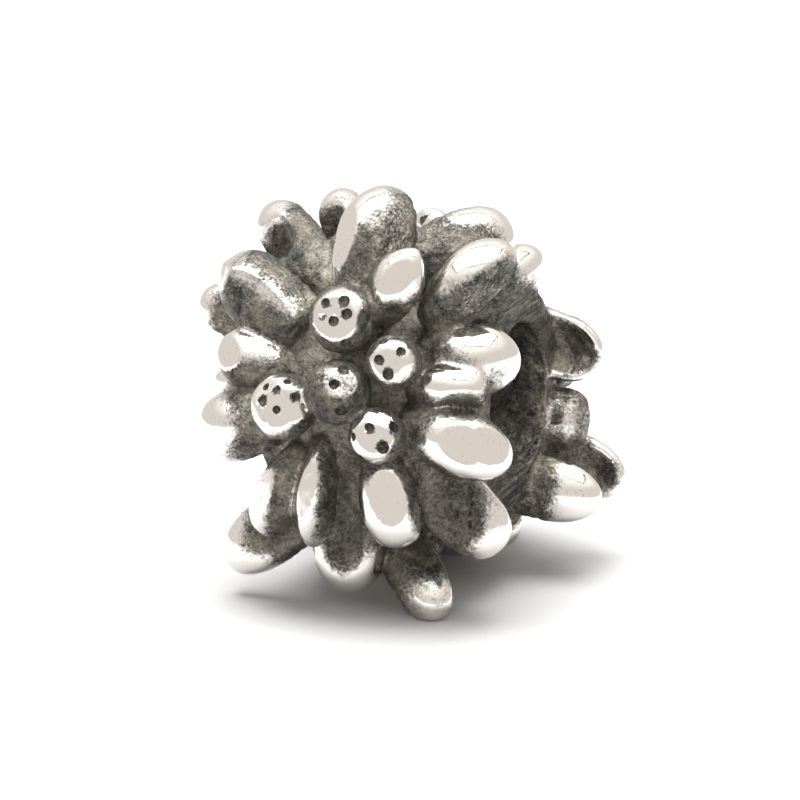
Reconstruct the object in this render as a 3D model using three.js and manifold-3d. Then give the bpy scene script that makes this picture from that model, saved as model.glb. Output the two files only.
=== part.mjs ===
// A cast silver flower bead: two edelweiss blooms back to back on a short barrel with a wide bore.
// Millimetres, +Z up. The bore runs along X, the front bloom looks towards -Y and slightly up, the
// back bloom the other way. The bead stands on three petal tips, and Z = 0 is what it stands on.
import * as THREE from 'three';
import { mergeVertices } from 'three/addons/utils/BufferGeometryUtils.js';
import Module from 'manifold-3d';

// Driving dimensions.
const BORE_RADIUS = 2.1;
const BORE_HEIGHT = 5.5;
const BARREL_RADIUS = 3.1;
const BARREL_LENGTH = 6.6;
const FACING_RADIUS = 3.2;
const BLOOM_TILT = 14;
const BEAD_REACH = 8.0;
const BODY_HALF_LENGTH = 4.6;
const BODY_HALF_DEPTH = 3.8;
const BODY_HALF_HEIGHT = 4.1;
const HEART_RADIUS = 3.2;
const HEART_HEIGHT = 2.4;
const HEART_RISE = 2.2;

// Facets: enough for the form of each petal and floret.
const PETAL_SIDES = 9;
const PETAL_RINGS = 8;
const FLORET_SIDES = 12;
const FLORET_ARC_STEPS = 6;
const PIT_SIDES = 5;
const PIT_RINGS = 3;
const BARREL_SIDES = 36;
const BODY_SIDES = 20;
const BODY_RINGS = 12;
const HEART_SIDES = 18;
const HEART_RINGS = 8;
const SMOOTHING = 0.015;
const SLIVER = 0.004;
const SAME_POINT = 1e-5;

// A petal's outline, as shares of its length, width and thickness.
const BELLY = 0.6;
const ROOT_END = 0.08;
const HOLLOW_AT = 0.72;
const HOLLOW_SPREAD = 0.22;
const HOLLOW_WIDTH = 0.85;
const UPPER_SHARE = 0.6;

// A place in a bloom is [distance from its axis, degrees from the bore's +X end, height above the
// bore's axis]. A petal runs from root to tip. arch bows it outward, neck is the root's width
// against the belly's, tipShape is 2 for a round end, ridge is 2 for a round back and nearer 1 for
// a keel, hollow is the depth of a spoon in its upper face, and trough of one in its underside.
const PLAIN_PETAL = { arch: 0.35, neck: 0.5, tipShape: 2, ridge: 2, hollow: 0, trough: 0 };
const LOW_SPOON = { arch: 0, hollow: 0.4, tipShape: 2.4 };
const SIDE_SPOON = { arch: 0.1, hollow: 0.4 };
const TROUGH_BESIDE_BORE = { arch: 0, neck: 0.8, trough: 0.45 };
const FRONT_FOOT = { arch: 0, neck: 0.9, tipShape: 2.6 };
const KEELED_POINT = { arch: 0.2, tipShape: 1.5, ridge: 1.4 };

const FRONT_UPPER = [
  { root: [1.7, 88, 4.2], tip: [5.5, 86, 3.4], width: 2.2, thick: 1.7 },
  { root: [2.0, 74, 4.5], tip: [4.3, 64, 5.2], width: 1.35, thick: 1.1, ...KEELED_POINT },
  { root: [2.6, 42, 4.1], tip: [5.8, 46, 3.5], width: 1.75, thick: 1.5 },
  { root: [2.0, 33, 3.9], tip: [4.6, 13, 3.2], width: 1.9, thick: 1.5 },
  { root: [1.7, 6, 4.4], tip: [4.0, 4, 4.2], width: 1.35, thick: 1.2, arch: 0.2, tipShape: 3 },
  { root: [1.6, -23, 4.2], tip: [4.9, -20, 3.6], width: 1.85, thick: 1.6 },
  { root: [1.7, -54, 4.2], tip: [4.6, -68, 3.6], width: 1.6, thick: 1.4, tipShape: 2.4 },
  { root: [1.3, -110, 4.3], tip: [4.6, -101, 3.7], width: 1.3, thick: 1.3, ridge: 1.3 },
  { root: [1.9, -124, 4.1], tip: [5.0, -120, 3.3], width: 1.4, thick: 1.3 },
  { root: [1.7, -148, 4.2], tip: [4.9, -159, 3.1], width: 2.0, thick: 1.6 },
  { root: [1.5, 174, 4.2], tip: [4.1, 172, 3.3], width: 1.5, thick: 1.4, arch: 0.3 },
  { root: [1.8, 131, 4.2], tip: [5.2, 146, 3.4], width: 2.1, thick: 1.6, ridge: 1.3, neck: 0.75 },
];

const FRONT_LOWER = [
  { root: [2.4, 108, 3.6], tip: [6.0, 131, 1.6], width: 1.55, thick: 1.2, ...SIDE_SPOON },
  { root: [2.6, 96, 3.4], tip: [5.5, 111, 1.4], width: 1.45, thick: 1.2, ...SIDE_SPOON },
  { root: [2.7, 90, 3.4], tip: [5.9, 57, 1.6], width: 1.3, thick: 1.1, arch: 0.75 },
  { root: [2.3, 48, 3.4], tip: [5.6, 47, 0.8], width: 1.2, thick: 1.1, arch: 0.1, neck: 0.6 },
  { root: [2.0, 142, 3.4], tip: [5.7, 161, 2.4], width: 1.4, thick: 1.2, ...SIDE_SPOON },
  { root: [1.8, -175, 3.4], tip: [4.7, -176, 2.6], width: 1.2, thick: 1.0, arch: 0.1 },
  { root: [2.4, -92, 3.4], tip: [6.6, -127, 2.0], width: 1.9, thick: 1.4, ...LOW_SPOON },
  { root: [2.2, -90, 3.4], tip: [5.7, -95, 1.9], width: 2.1, thick: 1.4, ...LOW_SPOON },
  { root: [2.2, -50, 3.4], tip: [5.7, -46, 2.0], width: 2.0, thick: 1.5, ...LOW_SPOON },
  { root: [3.0, -79, 0.4], tip: [6.62, -68, 2.25], width: 1.55, thick: 1.3, ...FRONT_FOOT },
];

// The back bloom's petals beside the bore, its petal at the top, and its two feet.
const BACK_PLACED = [
  { root: [2.8, -45, 2.0], tip: [4.78, -13, 2.9], width: 1.85, thick: 1.5, ...TROUGH_BESIDE_BORE },
  { root: [2.1, 14, 2.9], tip: [4.4, 8, 3.1], width: 1.8, thick: 1.4, arch: 0, neck: 0.9, tipShape: 3 },
  { root: [2.5, 27, 3.4], tip: [5.7, 24, 4.1], width: 1.7, thick: 1.3, arch: 0.1, neck: 0.7, trough: 0.4 },
  { root: [2.8, 54, 1.4], tip: [5.8, 28, 2.6], width: 1.8, thick: 1.6, arch: 0.1, neck: 0.8, ridge: 1.6 },
  { root: [2.3, 60, 2.4], tip: [4.9, 60, 2.8], width: 1.4, thick: 1.2, arch: 0.1, neck: 0.6 },
  { root: [2.4, -82, 1.4], tip: [4.7, -85, 0.1], width: 1.2, thick: 1.2, arch: 0.1, neck: 0.6 },
  { root: [2.0, 83, 3.4], tip: [4.88, 85, 3.7], width: 1.8, thick: 1.4, arch: 0.2 },
  { root: [2.6, 115, 2.2], tip: [5.8, 117, 2.4], width: 1.9, thick: 1.4, arch: 0.1, tipShape: 2.4 },
];

// The rest of the back bloom: rows of like petals, evenly spaced and each a little its own. The
// last two rows fill the waist between the blooms, above and below the bore.
const BACK_ROWS = [
  { from: 58, to: 58, count: 1, reach: 4.0, rise: 3.8, width: 1.7, thick: 1.5 },
  { from: 114, to: 250, count: 5, reach: 4.9, rise: 3.4, width: 1.8, thick: 1.5 },
  { from: 282, to: 338, count: 3, reach: 3.5, rise: 3.8, width: 1.6, thick: 1.4 },
  { from: 146, to: 238, count: 4, reach: 5.4, rise: 2.5, width: 1.7, thick: 1.3 },
  { from: 258, to: 298, count: 3, reach: 4.2, rise: 2.1, width: 1.6, thick: 1.3 },
  { from: 226, to: 312, count: 5, reach: 4.8, rise: 0.4, width: 1.5, thick: 1.2 },
  { from: 62, to: 128, count: 4, reach: 5.1, rise: 0.9, width: 1.6, thick: 1.2 },
];
const ROW_ROOT = 0.36;
const ROW_ROOT_RISE = 0.8;
const TURN_SPREAD = 4;
const REACH_SPREAD = 0.3;
const WIDTH_SPREAD = 0.15;

// Florets are knobs with round pits.
const FRONT_FLORETS = [
  { at: [1.8, 92, 5.3], radius: 0.85 },
  { at: [1.7, 27, 5.3], radius: 0.77 },
  { at: [0.2, -53, 5.4], radius: 0.9 },
  { at: [1.75, -153, 5.2], radius: 0.82 },
  { at: [1.8, -43, 5.3], radius: 0.77 },
];
const BACK_FLORETS = [
  { at: [1.8, 15, 5.3], radius: 0.8 },
  { at: [1.75, 88, 5.2], radius: 0.85 },
  { at: [0.1, 0, 5.4], radius: 0.88 },
  { at: [1.8, 165, 5.3], radius: 0.78 },
  { at: [1.75, 252, 5.3], radius: 0.82 },
];
const FLORET_STEM = 0.7;
const FLORET_DEPTH = 1.9;
const PIT_RADIUS = 0.19;
const PITS = 6;
const PIT_SPREAD = 68;
const PIT_TURN = 137.5;

const solids = await Module();
solids.setup();

function toSolid(geometry) {
  const bare = geometry.clone();
  bare.deleteAttribute('normal');
  bare.deleteAttribute('uv');
  const merged = mergeVertices(bare, SAME_POINT);
  const mesh = new solids.Mesh({
    numProp: 3,
    vertProperties: new Float32Array(merged.attributes.position.array),
    triVerts: new Uint32Array(merged.index.array),
  });
  return new solids.Manifold(mesh);
}

function toGeometry(solid) {
  const mesh = solid.getMesh();
  const geometry = new THREE.BufferGeometry();
  geometry.setAttribute('position', new THREE.BufferAttribute(mesh.vertProperties, 3));
  geometry.setIndex(new THREE.BufferAttribute(mesh.triVerts, 1));
  geometry.computeVertexNormals();
  return geometry;
}

// side is -1 for the front bloom and +1 for the back one; the two share one tilted axis.
function bloomFrame(side) {
  const tilt = THREE.MathUtils.degToRad(BLOOM_TILT);
  const outward = new THREE.Vector3(0, side * Math.cos(tilt), -side * Math.sin(tilt));
  const alongBore = new THREE.Vector3(1, 0, 0);
  const across = new THREE.Vector3().crossVectors(outward, alongBore);
  return new THREE.Matrix4().makeBasis(alongBore, across, outward);
}

function bloomPoint([distance, degrees, height]) {
  const turn = THREE.MathUtils.degToRad(degrees);
  return new THREE.Vector3(distance * Math.cos(turn), distance * Math.sin(turn), height);
}

// The petal's half width at q along its length, against its widest.
function girth(q, { neck, tipShape }) {
  if (q > BELLY) {
    const past = (q - BELLY) / (1 - BELLY);
    return Math.pow(Math.max(0, 1 - Math.pow(past, tipShape)), 1 / tipShape);
  }
  const swell = neck + (1 - neck) * Math.sin((Math.PI / 2) * (q / BELLY));
  const short = Math.max(0, 1 - q / ROOT_END);
  return swell * Math.sqrt(1 - short * short);
}

// The cross-section: a round underside and an upper face from round to keeled, each with its dip.
function section(across, outward, q, petal) {
  const dip = Math.exp(-Math.pow((q - HOLLOW_AT) / HOLLOW_SPREAD, 2));
  const bowl = dip * Math.max(0, 1 - Math.pow(across / HOLLOW_WIDTH, 2));
  if (outward <= 0) {
    return [across, outward * (1 - UPPER_SHARE) + petal.trough * bowl];
  }
  const power = 2 / petal.ridge;
  const side = Math.sign(across) * Math.pow(Math.abs(across), power);
  return [side, UPPER_SHARE * Math.pow(outward, power) - petal.hollow * bowl];
}

// A sphere drawn out along Y from root to tip and pressed into the petal's form.
function petalGeometry(form) {
  const petal = { ...PLAIN_PETAL, ...form };
  const root = bloomPoint(petal.root);
  const run = bloomPoint(petal.tip).sub(root);
  const length = run.length();
  const along = run.clone().normalize();
  const out = new THREE.Vector3(0, 0, 1).addScaledVector(along, -along.z).normalize();
  const across = new THREE.Vector3().crossVectors(along, out);
  const geometry = new THREE.SphereGeometry(1, PETAL_SIDES, PETAL_RINGS);
  const place = geometry.attributes.position;
  for (let i = 0; i < place.count; i += 1) {
    const q = (1 + place.getY(i)) / 2;
    const ring = Math.max(Math.hypot(place.getX(i), place.getZ(i)), 1e-6);
    const [side, rise] = section(place.getX(i) / ring, place.getZ(i) / ring, q, petal);
    const swell = girth(q, petal);
    const point = root.clone().addScaledVector(along, length * q);
    point.addScaledVector(across, side * swell * (petal.width / 2));
    point.addScaledVector(out, rise * swell * petal.thick + petal.arch * 4 * q * (1 - q));
    place.setXYZ(i, point.x, point.y, point.z);
  }
  return geometry;
}

// A steady stream of numbers from 0 to 1, the same on every run.
function makeDraw(seed) {
  let state = seed;
  return () => {
    state = (state * 16807) % 2147483647;
    return state / 2147483647;
  };
}

function petalRow(row, draw) {
  const petals = [];
  const step = (row.to - row.from) / Math.max(row.count - 1, 1);
  for (let k = 0; k < row.count; k += 1) {
    const turn = row.from + step * k + TURN_SPREAD * (2 * draw() - 1);
    const reach = row.reach + REACH_SPREAD * (2 * draw() - 1);
    const width = row.width + WIDTH_SPREAD * (2 * draw() - 1);
    const root = [row.reach * ROW_ROOT, turn, row.rise + ROW_ROOT_RISE];
    petals.push({ root, tip: [reach, turn, row.rise], width, thick: row.thick });
  }
  return petals;
}

// A knob: a stem from inside the heart, and most of a ball on top of it.
function knobGeometry(radius) {
  const stem = FLORET_STEM * radius;
  const lowest = Math.acos(-Math.sqrt(1 - FLORET_STEM * FLORET_STEM));
  const profile = [new THREE.Vector2(0, -FLORET_DEPTH), new THREE.Vector2(stem, -FLORET_DEPTH)];
  for (let k = 0; k < FLORET_ARC_STEPS; k += 1) {
    const angle = lowest * (1 - k / FLORET_ARC_STEPS);
    profile.push(new THREE.Vector2(radius * Math.sin(angle), radius * Math.cos(angle)));
  }
  profile.push(new THREE.Vector2(0, radius));
  return new THREE.LatheGeometry(profile, FLORET_SIDES).rotateX(Math.PI / 2);
}

function pitGeometry(centre, radius, lean, turn) {
  const aim = new THREE.Vector3().setFromSphericalCoords(radius, lean, turn);
  const mouth = new THREE.Vector3(aim.z, aim.x, aim.y).add(centre);
  const pit = new THREE.SphereGeometry(PIT_RADIUS, PIT_SIDES, PIT_RINGS);
  return pit.translate(mouth.x, mouth.y, mouth.z);
}

function floretSolid({ at, radius }, draw) {
  const centre = bloomPoint(at);
  let knob = toSolid(knobGeometry(radius).translate(centre.x, centre.y, centre.z));
  const start = 360 * draw();
  for (let k = 0; k < PITS; k += 1) {
    const lean = THREE.MathUtils.degToRad(PIT_SPREAD * Math.sqrt((k + 0.5) / PITS));
    const turn = THREE.MathUtils.degToRad(start + PIT_TURN * k);
    knob = knob.subtract(toSolid(pitGeometry(centre, radius, lean, turn)));
  }
  return knob;
}

function heartGeometry() {
  const heart = new THREE.SphereGeometry(HEART_RADIUS, HEART_SIDES, HEART_RINGS);
  heart.rotateX(Math.PI / 2).scale(1, 1, HEART_HEIGHT / HEART_RADIUS);
  return heart.translate(0, 0, HEART_RISE);
}

function bodyGeometry() {
  const body = new THREE.SphereGeometry(1, BODY_SIDES, BODY_RINGS);
  return body.scale(BODY_HALF_LENGTH, BODY_HALF_DEPTH, BODY_HALF_HEIGHT);
}

function bloomSolid(side, petals, florets, draw) {
  const pieces = petals.map((petal) => toSolid(petalGeometry(petal)));
  const knobs = florets.map((floret) => floretSolid(floret, draw));
  const bloom = solids.Manifold.union([toSolid(heartGeometry()), ...pieces, ...knobs]);
  return bloom.transform(bloomFrame(side).elements);
}

function rodAlongX(radius, length) {
  return new THREE.CylinderGeometry(radius, radius, length, BARREL_SIDES).rotateZ(Math.PI / 2);
}

// What the blooms leave of the barrel's two ends, filed flat across the bore.
function fileEnds(solid) {
  let filed = solid;
  for (const end of [-1, 1]) {
    const facing = rodAlongX(FACING_RADIUS, BEAD_REACH);
    facing.translate(end * (BARREL_LENGTH / 2 + BEAD_REACH / 2), 0, 0);
    filed = filed.subtract(toSolid(facing));
  }
  return filed;
}

// Everything below the resting plane, so that each of the three feet gets a small flat.
function groundGeometry() {
  const ground = new THREE.BoxGeometry(3 * BEAD_REACH, 3 * BEAD_REACH, BEAD_REACH);
  return ground.translate(0, 0, -BORE_HEIGHT - BEAD_REACH / 2);
}

function beadSolid() {
  const draw = makeDraw(41);
  const backPetals = [...BACK_PLACED, ...BACK_ROWS.flatMap((row) => petalRow(row, draw))];
  const front = bloomSolid(-1, [...FRONT_UPPER, ...FRONT_LOWER], FRONT_FLORETS, draw);
  const back = bloomSolid(1, backPetals, BACK_FLORETS, draw);
  const barrel = toSolid(rodAlongX(BARREL_RADIUS, BARREL_LENGTH));
  const casting = barrel.add(toSolid(bodyGeometry())).add(front).add(back);
  const smooth = casting.asOriginal().simplify(SMOOTHING);
  const bored = fileEnds(smooth).subtract(toSolid(rodAlongX(BORE_RADIUS, 2 * BEAD_REACH)));
  const standing = bored.subtract(toSolid(groundGeometry()));
  return standing.translate([0, 0, BORE_HEIGHT]).asOriginal().simplify(SLIVER);
}

const bead = new THREE.Group();
const silver = new THREE.MeshStandardMaterial({ color: 0xb9b4ac, roughness: 0.25, metalness: 1 });
const flower = new THREE.Mesh(toGeometry(beadSolid()), silver);
flower.name = 'flower_bead';
bead.add(flower);

export default bead;
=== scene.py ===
# A sterling silver bead for a bracelet: two edelweiss blooms back to back on a short barrel with a
# wide hole. It was carved in wax, cast in one piece, blackened all over and polished where a wheel
# could reach. Wax sizes are in millimetres; finish_casting() brings each piece to metres.
import math
import bmesh
import bpy
import numpy as np
from mathutils import Matrix, Vector, kdtree, noise
from mathutils.bvhtree import BVHTree


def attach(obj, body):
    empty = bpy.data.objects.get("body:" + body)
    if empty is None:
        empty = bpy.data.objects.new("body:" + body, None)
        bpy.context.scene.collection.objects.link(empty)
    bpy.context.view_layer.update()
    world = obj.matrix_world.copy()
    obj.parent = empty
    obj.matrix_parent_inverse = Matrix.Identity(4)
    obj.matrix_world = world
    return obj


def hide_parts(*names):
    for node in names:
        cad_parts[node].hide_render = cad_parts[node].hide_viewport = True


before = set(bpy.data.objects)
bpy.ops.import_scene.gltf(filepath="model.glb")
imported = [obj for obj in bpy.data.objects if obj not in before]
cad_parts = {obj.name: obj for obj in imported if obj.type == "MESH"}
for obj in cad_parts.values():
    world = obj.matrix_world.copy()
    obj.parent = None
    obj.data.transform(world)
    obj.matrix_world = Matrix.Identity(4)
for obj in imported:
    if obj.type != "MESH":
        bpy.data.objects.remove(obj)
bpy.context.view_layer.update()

# ---------------------------------------------------------------------------------------------
# Barrel. A short tube of silver between the blooms, swollen where it meets them and part of the
# same casting. Its wax is laid down first, and the blooms are carved on it.
BORE_RADIUS = 2.1
BORE_HEIGHT = 5.5
BARREL_RADIUS = 3.1
BARREL_LENGTH = 6.6
# Half the barrel's swelling between the blooms: along the bore, across it and upwards.
SWELL_HALF = (4.1, 3.8, 4.1)
ALONG_BORE = Matrix.Rotation(math.pi / 2, 4, "Y")
BORE_CENTRE = Matrix.Translation((0, 0, BORE_HEIGHT))


def rod(radius, end_radius, length, centre_x):
    """A rod along the bore, which may taper towards +X."""
    wax = bmesh.new()
    place = BORE_CENTRE @ Matrix.Translation((centre_x, 0, 0)) @ ALONG_BORE
    bmesh.ops.create_cone(
        wax, cap_ends=True, segments=128, radius1=radius, radius2=end_radius, depth=length,
        matrix=place,
    )
    return wax


bead_wax = rod(BARREL_RADIUS, BARREL_RADIUS, BARREL_LENGTH, 0)
bmesh.ops.create_uvsphere(
    bead_wax, u_segments=96, v_segments=64, radius=1,
    matrix=BORE_CENTRE @ Matrix.Diagonal((*SWELL_HALF, 1)),
)
# Each mark is a place in the wax, how far it is polished and the flats that the wheel left there.
marks = [(v.co.copy(), 0.0, ()) for v in bead_wax.verts]

# ---------------------------------------------------------------------------------------------
# Front bloom. A domed heart, an upper and a lower ring of woolly bracts, and five knob-shaped
# florets with pits, all carved in wax on the barrel and cast with it.
BLOOM_TILT = 14
HEART_RADIUS = 3.2
HEART_HEIGHT = 2.7
HEART_RISE = 2.2
BELLY = 0.6
ROOT_END = 0.08
HOLLOW_WIDTH = 0.85
UPPER_SHARE = 0.6
SHINE_EDGE = 16
DISH_KEEPS_DULL = (0.08, 0.22)
FLORET_STEM = 0.7
FLORET_DEPTH = 1.9
# A petal arches up between root and tip, is narrower at its neck, and may be hollowed like a spoon
# above or troughed below, deepest at "dish" along its length. Its shine is spots of polish, each
# (share of its length, turn round it in degrees, radius in degrees, strength); turns run clockwise
# as seen from its tip. Its flats are where the wheel pressed, each (azimuth, elevation, depth,
# polish), where None leaves the polish as it is.
PLAIN_PETAL = {
    "arch": 0.35, "neck": 0.5, "tip_shape": 2, "ridge": 2,
    "hollow": 0, "trough": 0, "dish": 0.72, "spread": 0.22, "aside": 0,
    "shine": ((1.0, 0, 55, 1), (0.75, 0, 45, 1)), "flats": (),
}
LOW_SPOON = {"arch": 0, "hollow": 0.42, "dish": 0.52, "spread": 0.26, "tip_shape": 2.4}
SIDE_SPOON = {"arch": 0.1, "hollow": 0.5, "dish": 0.6, "spread": 0.18, "tip_shape": 2.8}
TOP_SPOON = {
    "arch": 0.1, "hollow": 0.75, "dish": 0.62, "spread": 0.12, "aside": -0.4, "tip_shape": 2.4,
}


def petal(root, tip, width, thick, **more):
    """A petal from root to tip, plain in all that isn't said."""
    return {**PLAIN_PETAL, "root": root, "tip": tip, "width": width, "thick": thick, **more}


def floret(at, radius, shine, flats, pits):
    """Shine is spots of (lean, turn, radius, strength) and pits are (lean, turn, own radius)."""
    return {"at": at, "radius": radius, "shine": shine, "flats": flats, "pits": pits}


# The upper ring comes first, clockwise from the top; then the lower ring, whose last petal is the
# foot that the bead stands on.
FRONT_PETALS = [
    petal((1.7, 88, 4.2), (5.5, 86, 3.4), 2.2, 1.7,
          shine=[(0.5, -85, 50, 1), (0.86, -30, 33, 1), (1.0, 0, 24, 1), (0.8, 45, 40, 0.3)],
          flats=[(-45, 22, 0.14, 1), (60, 5, 0.15, 0.35)]),
    petal((1.9, 70, 4.4), (4.35, 63, 5.2), 1.6, 1.15, arch=0.2, tip_shape=1.5, ridge=1.4,
          shine=[(0.84, 5, 60, 1)], flats=[(12, 14, 0.14, 1)]),
    petal((2.6, 42, 4.1), (5.8, 46, 3.5), 1.75, 1.5,
          shine=[(0.72, -40, 55, 1), (1.0, 0, 30, 1)], flats=[(65, -25, 0.3, 0.25)]),
    petal((2.0, 33, 3.9), (4.6, 13, 3.2), 1.9, 1.5,
          shine=[(0.75, -40, 50, 1), (1.0, 0, 45, 1), (0.7, 40, 30, 0.6)]),
    petal((1.7, 6, 4.4), (4.0, 4, 4.2), 1.35, 1.2, arch=0.2, tip_shape=3,
          shine=[(0.65, -30, 62, 1)], flats=[(28, -42, 0.18, 0.55)]),
    petal((1.6, -23, 4.2), (4.9, -20, 3.6), 1.85, 1.6,
          shine=[(0.78, 5, 62, 1), (1.0, 0, 40, 1)],
          flats=[(24, 13, 0.16, 1), (55, 15, 0.14, 1)]),
    petal((1.7, -54, 4.2), (4.6, -68, 3.6), 1.6, 1.4, tip_shape=2.4,
          shine=[(0.78, 12, 60, 1), (1.0, 0, 44, 1)], flats=[(22, 13, 0.16, 1)]),
    petal((1.3, -110, 4.3), (4.6, -101, 3.7), 1.3, 1.3, ridge=1.3,
          shine=[(0.6, 30, 66, 1), (1.0, 0, 42, 1)], flats=[(-15, 10, 0.16, 1), (80, 0, 0.16, 0.1)]),
    petal((1.9, -124, 4.1), (5.0, -120, 3.3), 1.4, 1.3,
          shine=[(0.82, 52, 60, 1), (1.0, 0, 34, 1)], flats=[(-40, 14, 0.14, 1)]),
    petal((1.7, -148, 4.2), (4.9, -159, 3.1), 2.0, 1.6,
          shine=[(1.0, 0, 84, 1), (0.85, 0, 60, 1)]),
    petal((1.5, 174, 4.2), (4.2, 171, 3.3), 1.7, 1.4, arch=0.3,
          shine=[(0.85, 40, 60, 1), (0.55, 45, 50, 1), (1.0, 0, 60, 1)], flats=[(-35, 18, 0.1, 1)]),
    petal((1.8, 131, 4.2), (5.2, 146, 3.4), 2.1, 1.6, ridge=1.3, neck=0.75,
          shine=[(1.0, 0, 54, 1), (0.65, 24, 18, 1), (0.4, 24, 18, 1), (0.2, 22, 16, 0.9),
                 (0.72, -15, 44, 0.15)],
          flats=[(-12, 10, 0.34, None), (-55, 20, 0.12, 1)]),
    petal((2.4, 108, 3.6), (6.0, 131, 1.6), 1.7, 1.25, **TOP_SPOON,
          shine=[(0.95, 0, 47, 1)]),
    petal((2.6, 96, 3.4), (5.5, 111, 1.4), 1.55, 1.25, **TOP_SPOON,
          shine=[(0.95, -10, 56, 1)]),
    petal((2.7, 88, 3.4), (5.7, 55, 1.6), 1.9, 1.2, arch=0.6, tip_shape=2.6,
          shine=[(1.0, -20, 46, 1), (0.8, -50, 28, 0.9)]),
    petal((2.3, 48, 3.4), (5.6, 46, 0.8), 1.6, 1.3, arch=0.1, neck=0.6, shine=[(0.97, 0, 50, 1)]),
    petal((2.0, 142, 3.4), (5.6, 161, 2.4), 1.6, 1.2, **SIDE_SPOON, shine=[(1.0, 0, 54, 1)]),
    petal((1.8, -175, 3.4), (4.7, -176, 2.6), 1.2, 1.0, arch=0.1, shine=[(0.95, 0, 60, 1)]),
    petal((2.4, -92, 3.4), (6.6, -127, 2.0), 1.9, 1.4, **LOW_SPOON,
          shine=[(1.0, 0, 70, 1), (0.7, 115, 50, 1), (0.6, 60, 40, 0.4)]),
    petal((2.2, -90, 3.4), (5.7, -95, 1.9), 2.1, 1.4, **LOW_SPOON, shine=[(1.0, 0, 81, 1)]),
    petal((2.2, -50, 3.4), (5.7, -46, 2.0), 2.0, 1.5, **LOW_SPOON,
          shine=[(0.97, -60, 50, 1), (0.7, -110, 36, 0.9)]),
    petal((3.0, -100, 0.6), (6.62, -68, 2.25), 1.6, 1.4, arch=0, neck=0.5, tip_shape=2.6,
          shine=[(1.0, 0, 50, 0.84)]),
]
FRONT_FLORETS = [
    floret((1.8, 88, 5.3), 0.94, [(18, 70, 48, 1)],
           [(2, 16, 0.2, 1), (75, 0, 0.1, 0.1)],
           [(35, 125, 0.13), (40, 65, 0.16), (25, 180, 0.09), (5, -90, 0.15), (30, 25, 0.15),
            (50, -60, 0.15), (75, 5, 0.15)]),
    floret((1.78, 26, 5.3), 0.75, [(15, 20, 58, 1)], [(8, 12, 0.1, 1)],
           [(15, 165, 0.14), (30, -70, 0.16), (45, 40, 0.14), (50, 105, 0.14)]),
    floret((0.2, -53, 5.4), 0.9, [(32, 70, 22, 0.7), (40, -40, 14, 0.45)], [(30, 32, 0.08, 0.6)],
           [(70, 130, 0.15), (55, 65, 0.16), (20, 50, 0.15), (45, -50, 0.17)]),
    floret((1.66, -154.5, 5.2), 0.9, [(15, 170, 64, 1)],
           [(4, 11, 0.2, 1), (38, 16, 0.1, 1), (-30, 40, 0.1, 0.9)],
           [(50, 30, 0.13), (10, -45, 0.12), (30, 160, 0.14), (35, 85, 0.12), (55, 70, 0.11),
            (50, 125, 0.11), (70, -30, 0.14)]),
    floret((1.8, -43, 5.3), 0.77, [(12, -120, 62, 1)], [(16, 13, 0.16, 1), (30, 48, 0.08, 1)],
           [(20, 90, 0.14), (45, -35, 0.17), (35, -170, 0.12), (65, 25, 0.16)]),
]


def bloom_place(side):
    """From (along the bore, across, outward) in a bloom to the bead; side is -1 in front."""
    tilt = math.radians(BLOOM_TILT)
    outward = Vector((0, side * math.cos(tilt), -side * math.sin(tilt)))
    bore = Vector((1, 0, 0))
    return BORE_CENTRE @ Matrix((bore, outward.cross(bore), outward)).transposed().to_4x4()


def bloom_point(distance, degrees, height):
    """A place in a bloom: how far from its middle line, which way from the bore, how far outward."""
    turn = math.radians(degrees)
    return Vector((distance * math.cos(turn), distance * math.sin(turn), height))


def smoothstep(low, high, value):
    """Rises smoothly from 0 at low to 1 at high, on whichever side high lies."""
    t = min(max((value - low) / (high - low), 0), 1)
    return t * t * (3 - 2 * t)


def girth(q, form):
    """The petal's half width at q along its length, against its widest."""
    if q > BELLY:
        past = (q - BELLY) / (1 - BELLY)
        return max(0, 1 - past ** form["tip_shape"]) ** (1 / form["tip_shape"])
    swell = form["neck"] + (1 - form["neck"]) * math.sin(math.pi / 2 * q / BELLY)
    return swell * math.sqrt(1 - max(0, 1 - q / ROOT_END) ** 2)


def bowl(across, q, form):
    """How deep a spoon's dish is at a place, against its deepest."""
    dip = math.exp(-(((q - form["dish"]) / form["spread"]) ** 2))
    return dip * max(0, 1 - ((across - form["aside"]) / HOLLOW_WIDTH) ** 2)


def section(across, outward, q, form):
    """The cross-section: a round underside and an upper face from round to keeled."""
    if outward <= 0:
        return across, outward * (1 - UPPER_SHARE) + form["trough"] * bowl(across, q, form)
    power = 2 / form["ridge"]
    side = math.copysign(abs(across) ** power, across)
    return side, UPPER_SHARE * outward ** power - form["hollow"] * bowl(across, q, form)


def aim(lean, turn):
    """A direction that leans from the pole, towards turn degrees round it."""
    tilt, spin = math.radians(lean), math.radians(turn)
    return Vector((math.sin(tilt) * math.cos(spin), math.sin(tilt) * math.sin(spin), math.cos(tilt)))


def facing(azimuth, elevation):
    """A direction in the bead's own frame: azimuth 0 looks out in front, 90 along the bore."""
    turn, rise = math.radians(azimuth), math.radians(elevation)
    return Vector((
        math.sin(turn) * math.cos(rise), -math.cos(turn) * math.cos(rise), math.sin(rise)
    ))


def spots_at(way, spots):
    """How strongly a direction is polished by spots of (direction, radius, strength)."""
    return max(
        strength * (1 - smoothstep(radius - SHINE_EDGE, radius + SHINE_EDGE,
                                   math.degrees(way.angle(middle))))
        for middle, radius, strength in spots
    )


def press(place, planes):
    """Presses a place that stands past a plane back to it."""
    for normal, reach, _ in planes:
        over = place.dot(normal) - reach
        if over > 0:
            place -= normal * over


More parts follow.
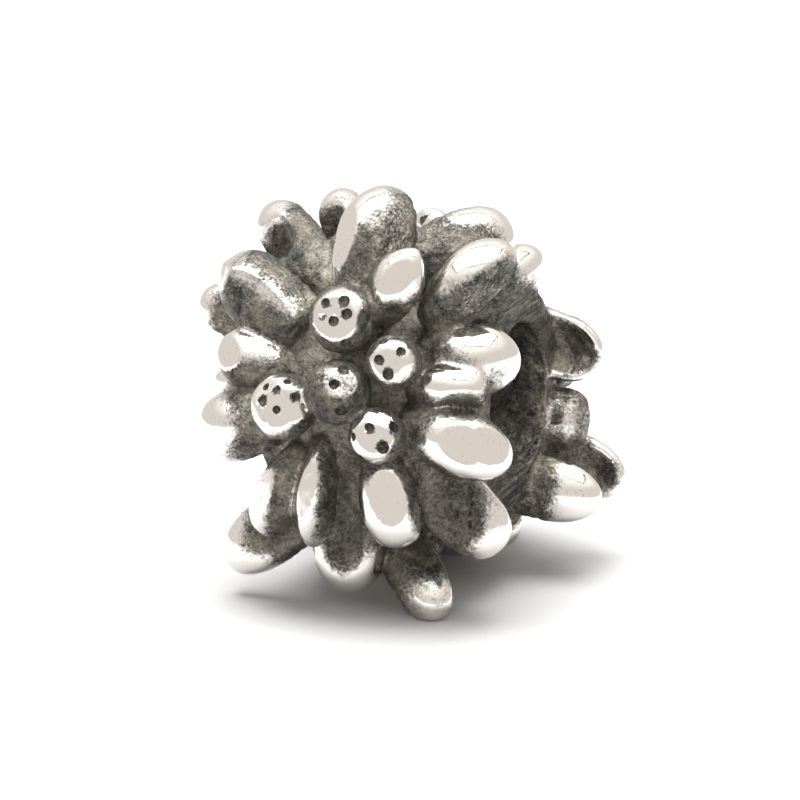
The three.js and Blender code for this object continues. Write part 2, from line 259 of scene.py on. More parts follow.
def add_wax(lump, shine, flats):
    """Presses a lump's flats, keeps its marks and adds it to the bead's wax."""
    planes = []
    for azimuth, elevation, depth, polish in flats:
        normal = facing(azimuth, elevation)
        planes.append((normal, max(v.co.dot(normal) for v in lump.verts) - depth, polish))
    for v in lump.verts:
        press(v.co, planes)
    marks.extend((v.co.copy(), polish, planes) for v, polish in zip(lump.verts, shine))
    mesh = bpy.data.meshes.new("lump")
    lump.to_mesh(mesh)
    lump.free()
    bead_wax.from_mesh(mesh)
    bpy.data.meshes.remove(mesh)


def carve_petal(bloom, form):
    """Draws a sphere out from root to tip; its spots of polish are drawn out with it."""
    root = bloom_point(*form["root"])
    run = bloom_point(*form["tip"]) - root
    along = run.normalized()
    out = (Vector((0, 0, 1)) - along * along.z).normalized()
    across = along.cross(out)
    spots = []
    for q, turn, radius, strength in form["shine"]:
        middle = aim(math.degrees(math.acos(2 * q - 1)), turn - 90)
        spots.append((middle, radius, strength))
    lump = bmesh.new()
    bmesh.ops.create_uvsphere(lump, u_segments=36, v_segments=28, radius=1)
    shine = []
    for v in lump.verts:
        q = (1 + v.co.z) / 2
        ring = max(math.hypot(v.co.x, v.co.y), 1e-6)
        sideways, outward = v.co.x / ring, -v.co.y / ring
        side, rise = section(sideways, outward, q, form)
        dished = (form["hollow"] if outward > 0 else form["trough"]) * bowl(sideways, q, form)
        reached = 1 - smoothstep(*DISH_KEEPS_DULL, dished * abs(outward))
        shine.append(spots_at(v.co, spots) * reached)
        swell = girth(q, form)
        lift = rise * swell * form["thick"] + form["arch"] * 4 * q * (1 - q)
        v.co = bloom @ (root + run * q + across * (side * swell * form["width"] / 2) + out * lift)
    add_wax(lump, shine, form["flats"])


def carve_floret(bloom, form):
    """A ball on a stem, worn flat in places."""
    centre = bloom @ Matrix.Translation(bloom_point(*form["at"]))
    spots = [(aim(lean, turn), radius, strength) for lean, turn, radius, strength in form["shine"]]
    stem = bmesh.new()
    thick = FLORET_STEM * form["radius"]
    bmesh.ops.create_cone(
        stem, cap_ends=True, segments=32, radius1=thick, radius2=thick, depth=FLORET_DEPTH,
        matrix=centre @ Matrix.Translation((0, 0, -FLORET_DEPTH / 2)),
    )
    add_wax(stem, [0.0] * len(stem.verts), ())
    ball = bmesh.new()
    bmesh.ops.create_uvsphere(ball, u_segments=48, v_segments=32, radius=form["radius"])
    shine = [spots_at(v.co, spots) for v in ball.verts]
    ball.transform(centre)
    add_wax(ball, shine, form["flats"])


def carve_bloom(side, petals, florets):
    """Lays a bloom's heart, petals and florets in the wax, and lists its pits to be drilled."""
    bloom = bloom_place(side)
    heart = bmesh.new()
    bmesh.ops.create_uvsphere(
        heart, u_segments=64, v_segments=48, radius=1,
        matrix=bloom @ Matrix.Translation((0, 0, HEART_RISE))
        @ Matrix.Diagonal((HEART_RADIUS, HEART_RADIUS, HEART_HEIGHT, 1)),
    )
    add_wax(heart, [0.0] * len(heart.verts), ())
    for form in petals:
        carve_petal(bloom, form)
    pits = []
    for form in florets:
        carve_floret(bloom, form)
        centre = bloom @ bloom_point(*form["at"])
        for lean, turn, size in form["pits"]:
            pits.append((centre, bloom.to_3x3() @ aim(lean, turn), size))
    return pits


front_pits = carve_bloom(-1, FRONT_PETALS, FRONT_FLORETS)

# ---------------------------------------------------------------------------------------------
# Back bloom. Its twin, seen only past the barrel's end: five broad petals beside the hole, one at
# the top, two that the bead stands on, and rows of like petals, each carved a little its own.
BACK_PLACED = [
    petal((2.8, -45, 2.0), (4.78, -13, 2.9), 1.85, 1.5, arch=0, neck=0.8, trough=0.6, spread=0.3,
          dish=0.6,
          shine=[(1.0, 0, 60, 1), (0.8, 120, 34, 1), (0.5, 110, 30, 0.7), (0.7, -110, 26, 0.7)]),
    petal((2.1, 14, 2.7), (4.4, 8, 3.0), 1.8, 1.4, arch=0, neck=0.9, tip_shape=3,
          shine=[(0.7, 180, 34, 0.75), (0.7, 100, 26, 0.5), (1.0, 0, 30, 0.35)]),
    petal((2.5, 27, 3.4), (5.7, 24, 4.1), 1.7, 1.3, arch=0.1, neck=0.7, trough=0.4,
          shine=[(1.0, 0, 42, 1), (0.75, 100, 36, 0.9)]),
    petal((2.8, 54, 1.4), (5.8, 28, 2.6), 1.8, 1.6, arch=0.1, neck=0.8, ridge=1.6,
          shine=[(1.0, 0, 74, 1)]),
    petal((2.3, 60, 2.4), (4.9, 60, 2.8), 1.4, 1.2, arch=0.1, neck=0.6),
    petal((2.4, -82, 1.4), (4.7, -85, 0.1), 1.2, 1.2, arch=0.1, neck=0.6),
    petal((2.0, 83, 3.4), (4.88, 85, 3.7), 1.8, 1.4, arch=0.2),
    petal((2.6, 115, 2.2), (5.8, 117, 2.4), 1.9, 1.4, arch=0.1, tip_shape=2.4),
]
# Each row: first and last turn, count, reach, rise, width, thickness.
BACK_ROWS = [
    (58, 58, 1, 4.0, 3.8, 1.7, 1.5),
    (114, 250, 5, 4.9, 3.4, 1.8, 1.5),
    (282, 338, 3, 3.5, 3.8, 1.6, 1.4),
    (146, 238, 4, 5.4, 2.5, 1.7, 1.3),
    (258, 298, 3, 4.2, 2.1, 1.6, 1.3),
    (226, 312, 5, 4.8, 0.4, 1.5, 1.2),
    (62, 128, 4, 5.1, 0.9, 1.6, 1.2),
]
ROW_ROOT = 0.36
ROW_ROOT_RISE = 0.8
TURN_SPREAD = 4
REACH_SPREAD = 0.3
WIDTH_SPREAD = 0.15
GOLDEN_TURN = 137.5
BACK_PIT_LEANS = (20, 36, 46, 55, 62, 68)
BACK_PIT_RADIUS = 0.15


def seed_pits(first_turn):
    """Pits that wind out from a floret's top as seeds do."""
    return [
        (lean, (first_turn + int(GOLDEN_TURN * k)) % 360, BACK_PIT_RADIUS)
        for k, lean in enumerate(BACK_PIT_LEANS)
    ]


BACK_FLORETS = [
    floret((1.8, 15, 5.3), 0.8, [(10, 40, 60, 1)],
           [(165, 8, 0.18, 1), (200, -30, 0.1, 1)], seed_pits(0)),
    floret((1.75, 88, 5.2), 0.85, [(10, 150, 60, 1)],
           [(190, 0, 0.2, 1), (150, 30, 0.12, 1)], seed_pits(40)),
    floret((0.1, 0, 5.4), 0.88, [(20, -60, 30, 0.7)],
           [(185, -20, 0.08, 0.7)], seed_pits(90)),
    floret((1.8, 165, 5.3), 0.78, [(15, -160, 60, 1)],
           [(205, -10, 0.18, 1), (170, 30, 0.1, 1)], seed_pits(200)),
    floret((1.75, 252, 5.3), 0.82, [(10, -90, 60, 1)],
           [(175, 20, 0.2, 1), (210, -20, 0.1, 1)], seed_pits(300)),
]


def steady_draw(seed):
    """An endless stream of numbers from 0 to 1, the same on every run."""
    state = seed
    while True:
        state = state * 16807 % 2147483647
        yield state / 2147483647


def petal_row(first, last, count, reach, rise, width, thick, draw):
    """A row of like petals, whose turn, reach and width each wander a little."""
    petals = []
    for k in range(count):
        turn = first + (last - first) / max(count - 1, 1) * k + TURN_SPREAD * (2 * next(draw) - 1)
        tip_reach = reach + REACH_SPREAD * (2 * next(draw) - 1)
        own_width = width + WIDTH_SPREAD * (2 * next(draw) - 1)
        root = (reach * ROW_ROOT, turn, rise + ROW_ROOT_RISE)
        petals.append(petal(root, (tip_reach, turn, rise), own_width, thick))
    return petals


draw = steady_draw(41)
row_petals = [form for row in BACK_ROWS for form in petal_row(*row, draw)]
back_pits = carve_bloom(1, BACK_PLACED + row_petals, BACK_FLORETS)

# ---------------------------------------------------------------------------------------------
# Silver casting. The wax of barrel and blooms runs together into fillets and is cast; then the hole
# is reamed, the ends are filed, the pits are drilled and the high places are polished. It is one
# casting, kept as two halves that meet inside the barrel so that each stays light to draw.
MM = 0.001
WAX_GRAIN = 0.05
WAX_SMOOTHING = 14
CUT_SMOOTHING = 2
BEAD_REACH = 8.0
RIM_BEVEL = 0.02
# The file cut a round face at each end, a little off the hole's own middle. What the blooms hang
# over the hole past it is cut back by a cone, so that a bracelet passes.
FACING_RADIUS = 2.65
FACING_SHIFT = (0, -0.4, 0.4)
OPENED_RADII = (1.5, 2.2)
OPENED_FROM, OPENED_TO = 2.6, 5.8
OPENED_SHIFT = (0, 0.6, 0)
# The file's marks fade out with the distance from the end's plane, and across the bead between
# these two places.
END_FADE = (0.1, 0.02)
FILE_STOPS = (1.2, 2.2)
# The two halves meet on a plane across the barrel and run past it by a hair.
HALVES_MEET = 0.4
HALF_OVERLAP = 0.002
# Each half is thinned to this count, with one weight everywhere so that it thins evenly, and its
# edges are shaded sharp from this angle in degrees.
MOST_TRIANGLES = 190000
EVEN_WEIGHT = 0.1
SHARP_FROM = 65
# Polish is taken from the nearest marks and fades where too few rays leave the surface freely.
NEAR_MARKS = 4
MARK_BLUR = 0.01
OPEN_RAYS = 10
OPEN_REACH = 1.2
OPEN_START = 0.02
OPEN_SPREAD = 0.85
OPEN_TO_POLISH = (0.3, 0.8)
WEAR_EVENING = 4
PRESS_DEEPER = 0.03
FLAT_EDGE = 0.05
DRILL_START = 2.0
PIT_FLOOR = 0.03
PIT_RIM = 1.05
# How the surface wanders: (waves per millimetre, height). The oxide's grain stops where the polish
# passes the second share.
BROAD_WOBBLE = (1.0, 0.018)
SMALL_WOBBLE = (2.7, 0.007)
OXIDE_WOBBLE = (4.5, 0.05)
GRAIN_ENDS = (0.1, 0.6)
# Sizes of the marks in the metal. The casting's grain and the file's scratches are about 0.03 wide,
# too fine to show, so they are drawn three times as coarse.
GRAIN_SIZE = 0.09
BLOTCH_SIZE = 0.5
GRAIN_DEPTH = 0.06


def linear(hex_colour):
    """The linear colour of an sRGB hex value."""
    channels = [int(hex_colour[k:k + 2], 16) / 255 for k in (0, 2, 4)]
    return [c / 12.92 if c <= 0.04045 else ((c + 0.055) / 1.055) ** 2.4 for c in channels] + [1]


def add_node(tree, kind, settings, links):
    """Adds a shader node, sets its inputs and properties, and links named or numbered inputs."""
    made = tree.nodes.new(kind)
    for name, value in settings.items():
        if isinstance(name, str) and hasattr(made, name):
            setattr(made, name, value)
        else:
            made.inputs[name].default_value = value
    for name, source in links.items():
        tree.links.new(source, made.inputs[name])
    return made


def sterling_silver():
    """Cast sterling silver, oxidised black, then polished where it stands out. The polish gives
    mirror-like tips and the oxide a matt olive-black skin, painted a lighter grey in closed hollows
    as painted fill light against their shade; where one thins out into the other the grain of the
    casting shows as grey speckles."""
    metal = bpy.data.materials.new("oxidised_sterling_silver")
    metal.use_nodes = True
    tree = metal.node_tree
    tree.nodes.clear()
    place = add_node(tree, "ShaderNodeTexCoord", {}, {}).outputs["Object"]
    polish = add_node(tree, "ShaderNodeAttribute", {"attribute_name": "polish"}, {}).outputs["Fac"]
    open_air = add_node(tree, "ShaderNodeAttribute", {"attribute_name": "open"}, {}).outputs["Fac"]
    filed = add_node(tree, "ShaderNodeAttribute", {"attribute_name": "filed"}, {}).outputs["Fac"]
    grain = add_node(
        tree, "ShaderNodeTexNoise",
        {"Scale": 1 / (GRAIN_SIZE * MM), "Detail": 3.0, "Roughness": 0.7}, {"Vector": place},
    ).outputs["Fac"]
    blotches = add_node(
        tree, "ShaderNodeTexNoise",
        {"Scale": 1 / (BLOTCH_SIZE * MM), "Detail": 3.0, "Roughness": 0.55}, {"Vector": place},
    ).outputs["Fac"]
    # The file ran slantwise over the ends: its scratches are long one way and fine the other.
    slant = add_node(
        tree, "ShaderNodeMapping",
        {"Rotation": (math.radians(40), 0, 0), "Scale": (1, 0.08, 1)}, {"Vector": place},
    ).outputs[0]
    scratches = add_node(
        tree, "ShaderNodeTexNoise",
        {"Scale": 1 / (GRAIN_SIZE * MM), "Detail": 2.0, "Roughness": 0.6}, {"Vector": slant},
    ).outputs["Fac"]
    furrows = add_node(
        tree, "ShaderNodeMapRange",
        {"From Min": 0.3, "From Max": 0.7, "To Min": -0.35, "To Max": 0.15}, {"Value": scratches},
    ).outputs[0]
    scratched = add_node(
        tree, "ShaderNodeMath", {"operation": "MULTIPLY"}, {0: furrows, 1: filed}
    ).outputs[0]
    # Where polish gives way to oxide, grain and blotches decide which of the two shows.
    speckled = add_node(
        tree, "ShaderNodeMath", {"operation": "MULTIPLY_ADD", 1: 1.1}, {0: grain, 2: polish}
    ).outputs[0]
    patchy = add_node(
        tree, "ShaderNodeMath", {"operation": "MULTIPLY_ADD", 1: 0.6}, {0: blotches, 2: speckled}
    ).outputs[0]
    shiny = add_node(
        tree, "ShaderNodeMath", {"operation": "MULTIPLY_ADD", 1: 0.5}, {0: scratched, 2: patchy}
    ).outputs[0]
    bright = add_node(
        tree, "ShaderNodeMapRange",
        {"interpolation_type": "SMOOTHSTEP", "From Min": 0.9, "From Max": 1.75}, {"Value": shiny},
    ).outputs[0]
    # The oxide: thick and black, worn to grey in specks, and painted a lighter grey in closed
    # hollows, painted fill light that lifts the shade there.
    clouded = add_node(
        tree, "ShaderNodeMath", {"operation": "MULTIPLY_ADD", 1: 0.8}, {0: blotches, 2: grain}
    ).outputs[0]
    mottle = add_node(
        tree, "ShaderNodeMath", {"operation": "ADD"}, {0: clouded, 1: scratched}
    ).outputs[0]
    specks = add_node(
        tree, "ShaderNodeMapRange", {"From Min": 0.7, "From Max": 1.1}, {"Value": mottle}
    ).outputs[0]
    tint = add_node(
        tree, "ShaderNodeMapRange", {"From Min": 0.4, "From Max": 0.6}, {"Value": blotches}
    ).outputs[0]
    thick_oxide = add_node(
        tree, "ShaderNodeMix",
        {"data_type": "RGBA", 6: linear("343331"), 7: linear("37352f")}, {0: tint},
    ).outputs[2]
    worn_oxide = add_node(
        tree, "ShaderNodeMix",
        {"data_type": "RGBA", 6: linear("797672"), 7: linear("77736a")}, {0: tint},
    ).outputs[2]
    open_skin = add_node(
        tree, "ShaderNodeMix", {"data_type": "RGBA"}, {0: specks, 6: thick_oxide, 7: worn_oxide}
    ).outputs[2]
    # Painted light: a lighter grey, speckled by the grain, painted where few rays leave the surface,
    # to lift the shade in the hollows.
    painted_fill_in_hollows = add_node(
        tree, "ShaderNodeMix",
        {"data_type": "RGBA", 6: linear("66635b"), 7: linear("a8a397")}, {0: specks},
    ).outputs[2]
    # As the surface closes in, the painted lighter grey takes over from the oxide.
    skin = add_node(
        tree, "ShaderNodeMix", {"data_type": "RGBA"}, {0: open_air, 6: painted_fill_in_hollows, 7: open_skin}
    ).outputs[2]
    # Bare silver under both, smooth where it is bright.
    bared = add_node(tree, "ShaderNodeMath", {"operation": "POWER", 1: 2.0}, {0: bright}).outputs[0]
    colour = add_node(
        tree, "ShaderNodeMix", {"data_type": "RGBA", 7: linear("e9e6e1")}, {0: bared, 6: skin}
    ).outputs[2]
    rough = add_node(
        tree, "ShaderNodeMapRange", {"To Min": 0.56, "To Max": 0.11}, {"Value": bright}
    ).outputs[0]
    relief = add_node(
        tree, "ShaderNodeMath", {"operation": "MULTIPLY_ADD", 1: 2.0}, {0: scratched, 2: grain}
    ).outputs[0]
    depth = add_node(
        tree, "ShaderNodeMapRange", {"To Min": 0.8, "To Max": 0.03}, {"Value": bright}
    ).outputs[0]
    bump = add_node(
        tree, "ShaderNodeBump", {"Distance": GRAIN_DEPTH * MM}, {"Height": relief, "Strength": depth}
    ).outputs[0]
    silver = add_node(
        tree, "ShaderNodeBsdfPrincipled", {"Metallic": 1.0},
        {"Base Color": colour, "Roughness": rough, "Normal": bump},
    )
    add_node(tree, "ShaderNodeOutputMaterial", {}, {"Surface": silver.outputs[0]})
    return metal


def wax_object(name, wax):
    """A mesh object from a bmesh, which is used up."""
    mesh = bpy.data.meshes.new(name)
    wax.to_mesh(mesh)
    wax.free()
    made = bpy.data.objects.new(name, mesh)
    bpy.context.scene.collection.objects.link(made)
    return made


def work(piece, kind, **settings):
    """Puts one modifier on a piece and applies it."""
    tool = piece.modifiers.new(kind, kind)
    for name, value in settings.items():
        setattr(tool, name, value)
    reworked = bpy.data.meshes.new_from_object(
        piece.evaluated_get(bpy.context.evaluated_depsgraph_get())
    )
    piece.modifiers.clear()
    worn_out = piece.data
    piece.data = reworked
    bpy.data.meshes.remove(worn_out)


def cut_away(piece, wax):
    """Cuts the shape in a bmesh out of a piece."""
    cutter = wax_object("cutter", wax)
    work(piece, "BOOLEAN", operation="DIFFERENCE", solver="MANIFOLD", object=cutter)
    bpy.data.objects.remove(cutter)


def block(centre, size):
    """A block to cut with."""
    wax = bmesh.new()
    bmesh.ops.create_cube(
        wax, size=1, matrix=Matrix.Translation(centre) @ Matrix.Diagonal((*size, 1))
    )
    return wax


def bore_and_file(piece):
    """Reams the hole, files both ends flat and breaks the hole's sharp edges."""
    cut_away(piece, rod(BORE_RADIUS, BORE_RADIUS, 2 * BEAD_REACH, 0))
    for end in (-1, 1):
        past_end = end * (BARREL_LENGTH + BEAD_REACH) / 2
        face = rod(FACING_RADIUS, FACING_RADIUS, BEAD_REACH, past_end)
        bmesh.ops.translate(face, verts=face.verts[:], vec=FACING_SHIFT)
        cut_away(piece, face)
        inner, outer = BORE_RADIUS, BORE_RADIUS + 2 * RIM_BEVEL
        taper = (inner, outer) if end > 0 else (outer, inner)
        cut_away(piece, rod(*taper, 2 * RIM_BEVEL, end * BARREL_LENGTH / 2))
        taper = OPENED_RADII if end > 0 else OPENED_RADII[::-1]
        opened = rod(*taper, OPENED_TO - OPENED_FROM, end * (OPENED_FROM + OPENED_TO) / 2)
        bmesh.ops.translate(opened, verts=opened.verts[:], vec=OPENED_SHIFT)
        cut_away(piece, opened)


def drop_crumbs(piece):
    """Keeps the largest connected part and deletes what the cuts left loose."""
    wax = bmesh.new()
    wax.from_mesh(piece.data)
    unseen = set(wax.verts)
    parts = []
    while unseen:
        part, edge_of_part = set(), [unseen.pop()]
        while edge_of_part:
            v = edge_of_part.pop()
            part.add(v)
            for e in v.link_edges:
                other = e.other_vert(v)
                if other in unseen:
                    unseen.remove(other)
                    edge_of_part.append(other)
        parts.append(part)
    parts.sort(key=len)
    crumbs = [v for part in parts[:-1] for v in part]
    bmesh.ops.delete(wax, geom=crumbs, context="VERTS")
    wax.to_mesh(piece.data)
    wax.free()


def surface_tree(piece):
    """A piece's surface, to cast rays at and to find the nearest place on."""
    mesh = piece.data
    return BVHTree.FromPolygons([v.co for v in mesh.vertices], [p.vertices for p in mesh.polygons])


def places_tree(places):
    """A lookup of the nearest of some places."""
    nearest = kdtree.KDTree(len(places))
    for k, place in enumerate(places):
        nearest.insert(place, k)
    nearest.balance()
    return nearest


def skin_normals(piece, surface):
    """Which way the whole casting faces at each vertex, whatever way a half's own cut faces."""
    return [surface.find_nearest(v.co)[1] for v in piece.data.vertices]


def openness(piece, surface):
    """For each vertex, the share of outward rays that meet nothing near."""
    spread = []
    for k in range(OPEN_RAYS):
        rise = 1 - (k + 0.5) / OPEN_RAYS * OPEN_SPREAD
        spread.append(aim(math.degrees(math.acos(rise)), GOLDEN_TURN * k))
    shares = []
    for v, normal in zip(piece.data.vertices, skin_normals(piece, surface)):
        turn = normal.to_track_quat("Z", "Y")
        start = v.co + normal * OPEN_START
        free = sum(surface.ray_cast(start, turn @ way, OPEN_REACH)[0] is None for way in spread)
        shares.append(free / OPEN_RAYS)
    return shares


def evened(piece, values, rounds):
    """Evens out a value over neighbouring vertices."""
    edges = np.empty(len(piece.data.edges) * 2, np.int32)
    piece.data.edges.foreach_get("vertices", edges)
    ends = np.concatenate((edges.reshape(-1, 2), edges.reshape(-1, 2)[:, ::-1]))
    values = np.array(values, float)
    around = np.bincount(ends[:, 0], minlength=len(values))
    for _ in range(rounds):
        total = np.bincount(ends[:, 0], values[ends[:, 1]], minlength=len(values))
        values = (values + total / np.maximum(around, 1)) / 2
    return list(values)


def at_filed_end(place):
    """1 on the plane of a filed end, 0 away from it."""
    return smoothstep(*END_FADE, abs(abs(place.x) - BARREL_LENGTH / 2))


def press_flats(piece, nearest):
    """Makes the flats crisp again, a little deeper, after the wax was evened out."""
    for v in piece.data.vertices:
        planes = marks[nearest.find(v.co)[1]][2]
        if planes:
            press(v.co, [(normal, reach - PRESS_DEEPER, 0) for normal, reach, _ in planes])


def polish_casting(piece, surface, nearest):
    """Marks how far each vertex is polished, lies open and is filed."""
    polish = []
    for v in piece.data.vertices:
        found = nearest.find_n(v.co, NEAR_MARKS)
        close = [(1 / (away + MARK_BLUR), marks[k][1]) for _, k, away in found]
        polish.append(sum(w * mark for w, mark in close) / sum(w for w, _ in close))
    open_air = openness(piece, surface)
    polish = [mark * smoothstep(*OPEN_TO_POLISH, free) for mark, free in zip(polish, open_air)]
    polish = evened(piece, polish, WEAR_EVENING)
    for k, v in enumerate(piece.data.vertices):
        for normal, reach, flat_polish in marks[nearest.find(v.co)[1]][2]:
            below = reach - PRESS_DEEPER - v.co.dot(normal)
            if flat_polish is not None:
                polish[k] += (flat_polish - polish[k]) * smoothstep(FLAT_EDGE, 0, below)
    open_air = evened(piece, open_air, 1)
    filed = [
        at_filed_end(v.co) * (1 - smoothstep(*FILE_STOPS, v.co.y)) for v in piece.data.vertices
    ]
    for name, values in (("polish", polish), ("open", open_air), ("filed", filed)):
        layer = piece.data.attributes.new(name, "FLOAT", "POINT")
        layer.data.foreach_set("value", np.array(values, np.float32))


def drill_pits(piece, pits):
    """Sinks a round pit where each aim from a floret's middle meets its skin."""
    surface = surface_tree(piece)
    drills = bmesh.new()
    drilled = []
    for centre, way, size in pits:
        place = surface.ray_cast(centre + way * DRILL_START, -way)[0]
        bmesh.ops.create_icosphere(
            drills, subdivisions=3, radius=size, matrix=Matrix.Translation(place)
        )
        drilled.append((place, way, size))
    cut_away(piece, drills)
    return drilled


def blacken_pits(piece, drilled):
    """Leaves the oxide thick inside the pits, where no wheel reaches, and keeps the painted lift of
    shade out of them.
    """
    nearest = places_tree([place for place, _, _ in drilled])
    polish = piece.data.attributes["polish"].data
    open_air = piece.data.attributes["open"].data
    for k, v in enumerate(piece.data.vertices):
        _, pit, away = nearest.find(v.co)
        place, way, size = drilled[pit]
        if away < size * PIT_RIM and (v.co - place).dot(way) < -PIT_FLOOR:
            polish[k].value = 0
            # Counted as open, the pits get none of the painted lighter grey that lifts the shade in
            # hollows.
            open_air[k].value = 1


def wander(piece):
    """Lets the surface wander as hand-carved wax does, apart from the filed ends."""
    normals = [v.normal.copy() for v in piece.data.vertices]
    for v, normal in zip(piece.data.vertices, normals):
        swell = sum(noise.noise(v.co * rate) * size for rate, size in (BROAD_WOBBLE, SMALL_WOBBLE))
        v.co += normal * swell * (1 - at_filed_end(v.co))


def thin(piece):
    """Thins the mesh evenly to what is light enough to draw."""
    count = sum(len(p.vertices) - 2 for p in piece.data.polygons)
    evenly = piece.vertex_groups.new(name="evenly")
    evenly.add(range(len(piece.data.vertices)), EVEN_WEIGHT, "REPLACE")
    work(
        piece, "DECIMATE", ratio=min(1, MOST_TRIANGLES / count),
        vertex_group="evenly", vertex_group_factor=1,
    )
    piece.vertex_groups.clear()


def roughen(piece, surface):
    """Grains the surface where no wheel has been."""
    normals = skin_normals(piece, surface)
    polish = piece.data.attributes["polish"].data
    rate, size = OXIDE_WOBBLE
    for v, normal, shine in zip(piece.data.vertices, normals, polish):
        dull = (1 - smoothstep(*GRAIN_ENDS, shine.value)) * (1 - at_filed_end(v.co))
        v.co += normal * noise.noise(v.co * rate) * size * dull
        v.co.z = max(v.co.z, 0)


def finish_casting(piece, metal):
    """Brings a piece to metres, smooths its shading and gives it its metal and its place."""
    piece.data.transform(Matrix.Scale(MM, 4))
    piece.data.shade_smooth()
    piece.data.set_sharp_from_angle(angle=math.radians(SHARP_FROM))
    piece.data.materials.clear()
    piece.data.materials.append(metal)
    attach(piece, "root")
    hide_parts("flower_bead")


front_half = wax_object("front_half", bead_wax)
work(front_half, "REMESH", mode="VOXEL", voxel_size=WAX_GRAIN)
work(front_half, "SMOOTH", factor=0.5, iterations=WAX_SMOOTHING)
bore_and_file(front_half)
below_table = block((0, 0, -BEAD_REACH / 2), (3 * BEAD_REACH, 3 * BEAD_REACH, BEAD_REACH))
cut_away(front_half, below_table)
work(front_half, "REMESH", mode="VOXEL", voxel_size=WAX_GRAIN)
work(front_half, "SMOOTH", factor=0.5, iterations=CUT_SMOOTHING)
drop_crumbs(front_half)
nearest_mark = places_tree([co for co, _, _ in marks])
press_flats(front_half, nearest_mark)
wander(front_half)
pits = drill_pits(front_half, front_pits + back_pits)
back_half = bpy.data.objects.new("back_half", front_half.data.copy())
bpy.context.scene.collection.objects.link(back_half)
whole_surface = surface_tree(front_half)
silver = sterling_silver()
for half, side in ((front_half, -1), (back_half, 1)):
    other_side = (0, HALVES_MEET - side * (BEAD_REACH + HALF_OVERLAP), BORE_HEIGHT)
    cut_away(half, block(other_side, (3 * BEAD_REACH, 2 * BEAD_REACH, 3 * BEAD_REACH)))
    thin(half)
    polish_casting(half, whole_surface, nearest_mark)
    blacken_pits(half, pits)
    roughen(half, whole_surface)
    finish_casting(half, silver)

# ---------------------------------------------------------------------------------------------
# Floor and light. Pale paper, a wide soft box hung above the bead with a lamp in its middle, and a
# beige room under a whiter ceiling. The silver mirrors box and room, and the lamp lights the paper.
FLOOR_HALF = 1.5
floor_sheet = bmesh.new()
bmesh.ops.create_grid(floor_sheet, x_segments=1, y_segments=1, size=FLOOR_HALF)
floor = wax_object("floor", floor_sheet)
# White paper: matt, so that the bead's shadow lies soft on it and nothing is mirrored.
paper = bpy.data.materials.new("white_paper")
paper.use_nodes = True
paper.node_tree.nodes["Principled BSDF"].inputs["Base Color"].default_value = linear("b1b1b1")
paper.node_tree.nodes["Principled BSDF"].inputs["Roughness"].default_value = 0.9
floor.data.materials.append(paper)

# The room: beige walls low down that pass softly into a ceiling, which is whiter and brighter.
CEILING_FROM, CEILING_TO = 0.3, 0.75
CEILING_GLOW = 1.3
room = bpy.data.worlds.new("room")
bpy.context.scene.world = room
room.use_nodes = True
room_tree = room.node_tree
outlook = add_node(room_tree, "ShaderNodeTexCoord", {}, {}).outputs["Generated"]
upward = add_node(room_tree, "ShaderNodeSeparateXYZ", {}, {0: outlook}).outputs["Z"]
ceiling = add_node(
    room_tree, "ShaderNodeMapRange",
    {"interpolation_type": "SMOOTHSTEP", "From Min": CEILING_FROM, "From Max": CEILING_TO},
    {"Value": upward},
).outputs[0]
walls = add_node(
    room_tree, "ShaderNodeMix",
    {"data_type": "RGBA", 6: linear("ece5e1"), 7: linear("fffcf6")}, {0: ceiling},
).outputs[2]
glow = add_node(
    room_tree, "ShaderNodeMapRange", {"To Min": 1.0, "To Max": CEILING_GLOW}, {"Value": ceiling}
).outputs[0]
room_tree.links.new(walls, room_tree.nodes["Background"].inputs["Color"])
room_tree.links.new(glow, room_tree.nodes["Background"].inputs["Strength"])

# The box and the camera are both turned this far, in degrees.
AZIMUTH = 22
BOX_WIDTH, BOX_DEPTH = 0.46, 0.28
BOX_PLACE = Vector((-0.02, -0.03, 0.25))
BOX_RADIANCE = 4.2
BOX_FRAME = 0.02
box_light = bpy.data.lights.new("soft_box", "AREA")
box_light.shape = "RECTANGLE"
box_light.size, box_light.size_y = BOX_WIDTH, BOX_DEPTH
box_light.energy = 4 * BOX_RADIANCE * BOX_WIDTH * BOX_DEPTH
soft_box = bpy.data.objects.new("soft_box", box_light)
soft_box.location = BOX_PLACE
soft_box.rotation_euler.z = math.radians(AZIMUTH)
soft_box.visible_diffuse = False
bpy.context.scene.collection.objects.link(soft_box)

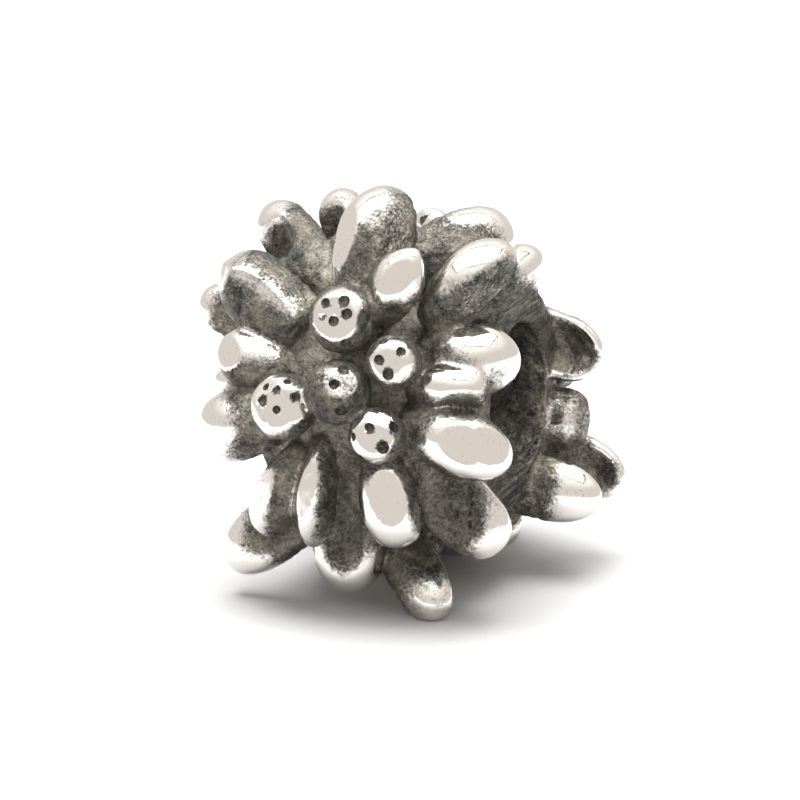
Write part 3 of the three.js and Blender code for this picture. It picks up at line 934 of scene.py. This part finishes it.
# The lamp inside the box: smaller and brighter, it throws the bead's shadow on the paper.
LAMP_SIZE = 0.2
LAMP_SHIFT = Vector((0, 0.03, 0))
LAMP_RADIANCE = 12.2
lamp_light = bpy.data.lights.new("lamp", "AREA")
lamp_light.shape = "SQUARE"
lamp_light.size = LAMP_SIZE
lamp_light.energy = 4 * LAMP_RADIANCE * LAMP_SIZE ** 2
lamp = bpy.data.objects.new("lamp", lamp_light)
lamp.location = BOX_PLACE + LAMP_SHIFT
lamp.rotation_euler = soft_box.rotation_euler
lamp.visible_glossy = False
bpy.context.scene.collection.objects.link(lamp)

frame_bars = bmesh.new()
for x, y, wide, deep in (
    (BOX_WIDTH / 2, 0, BOX_FRAME, BOX_DEPTH + BOX_FRAME),
    (-BOX_WIDTH / 2, 0, BOX_FRAME, BOX_DEPTH + BOX_FRAME),
    (0, BOX_DEPTH / 2, BOX_WIDTH + BOX_FRAME, BOX_FRAME),
    (0, -BOX_DEPTH / 2, BOX_WIDTH + BOX_FRAME, BOX_FRAME),
):
    bar = Matrix.Translation((x, y, 0)) @ Matrix.Diagonal((wide, deep, BOX_FRAME, 1))
    bmesh.ops.create_cube(frame_bars, size=1, matrix=soft_box.matrix_basis @ bar)
box_frame = wax_object("soft_box_frame", frame_bars)
# Black cloth round the box: in the polish it draws thin dark lines round the highlights.
black_cloth = bpy.data.materials.new("black_cloth")
black_cloth.use_nodes = True
black_cloth.node_tree.nodes["Principled BSDF"].inputs["Base Color"].default_value = linear("262626")
box_frame.data.materials.append(black_cloth)

# Camera: a long lens a little above the bead, turned so that the hole's end shows on the right.
ELEVATION = 15
CAMERA_DISTANCE = 0.16
AIM_LEFT, AIM_LOW = 0.194 * MM, 0.389 * MM
LENS_LENGTH = 259.2
back_way = facing(AZIMUTH, ELEVATION)
right_way = facing(AZIMUTH + 90, 0)
up_way = back_way.cross(right_way)
target = Vector((0, 0, BORE_HEIGHT * MM)) - right_way * AIM_LEFT - up_way * AIM_LOW
lens = bpy.data.cameras.new("camera")
lens.lens = LENS_LENGTH
lens.sensor_width = 36
lens.clip_start = 0.01
camera = bpy.data.objects.new("camera", lens)
camera.rotation_mode = "QUATERNION"
camera.location = target + back_way * CAMERA_DISTANCE
camera.rotation_quaternion = (-back_way).to_track_quat("-Z", "Y")
bpy.context.scene.collection.objects.link(camera)
bpy.context.scene.camera = camera
bpy.context.scene.view_settings.view_transform = "Standard"
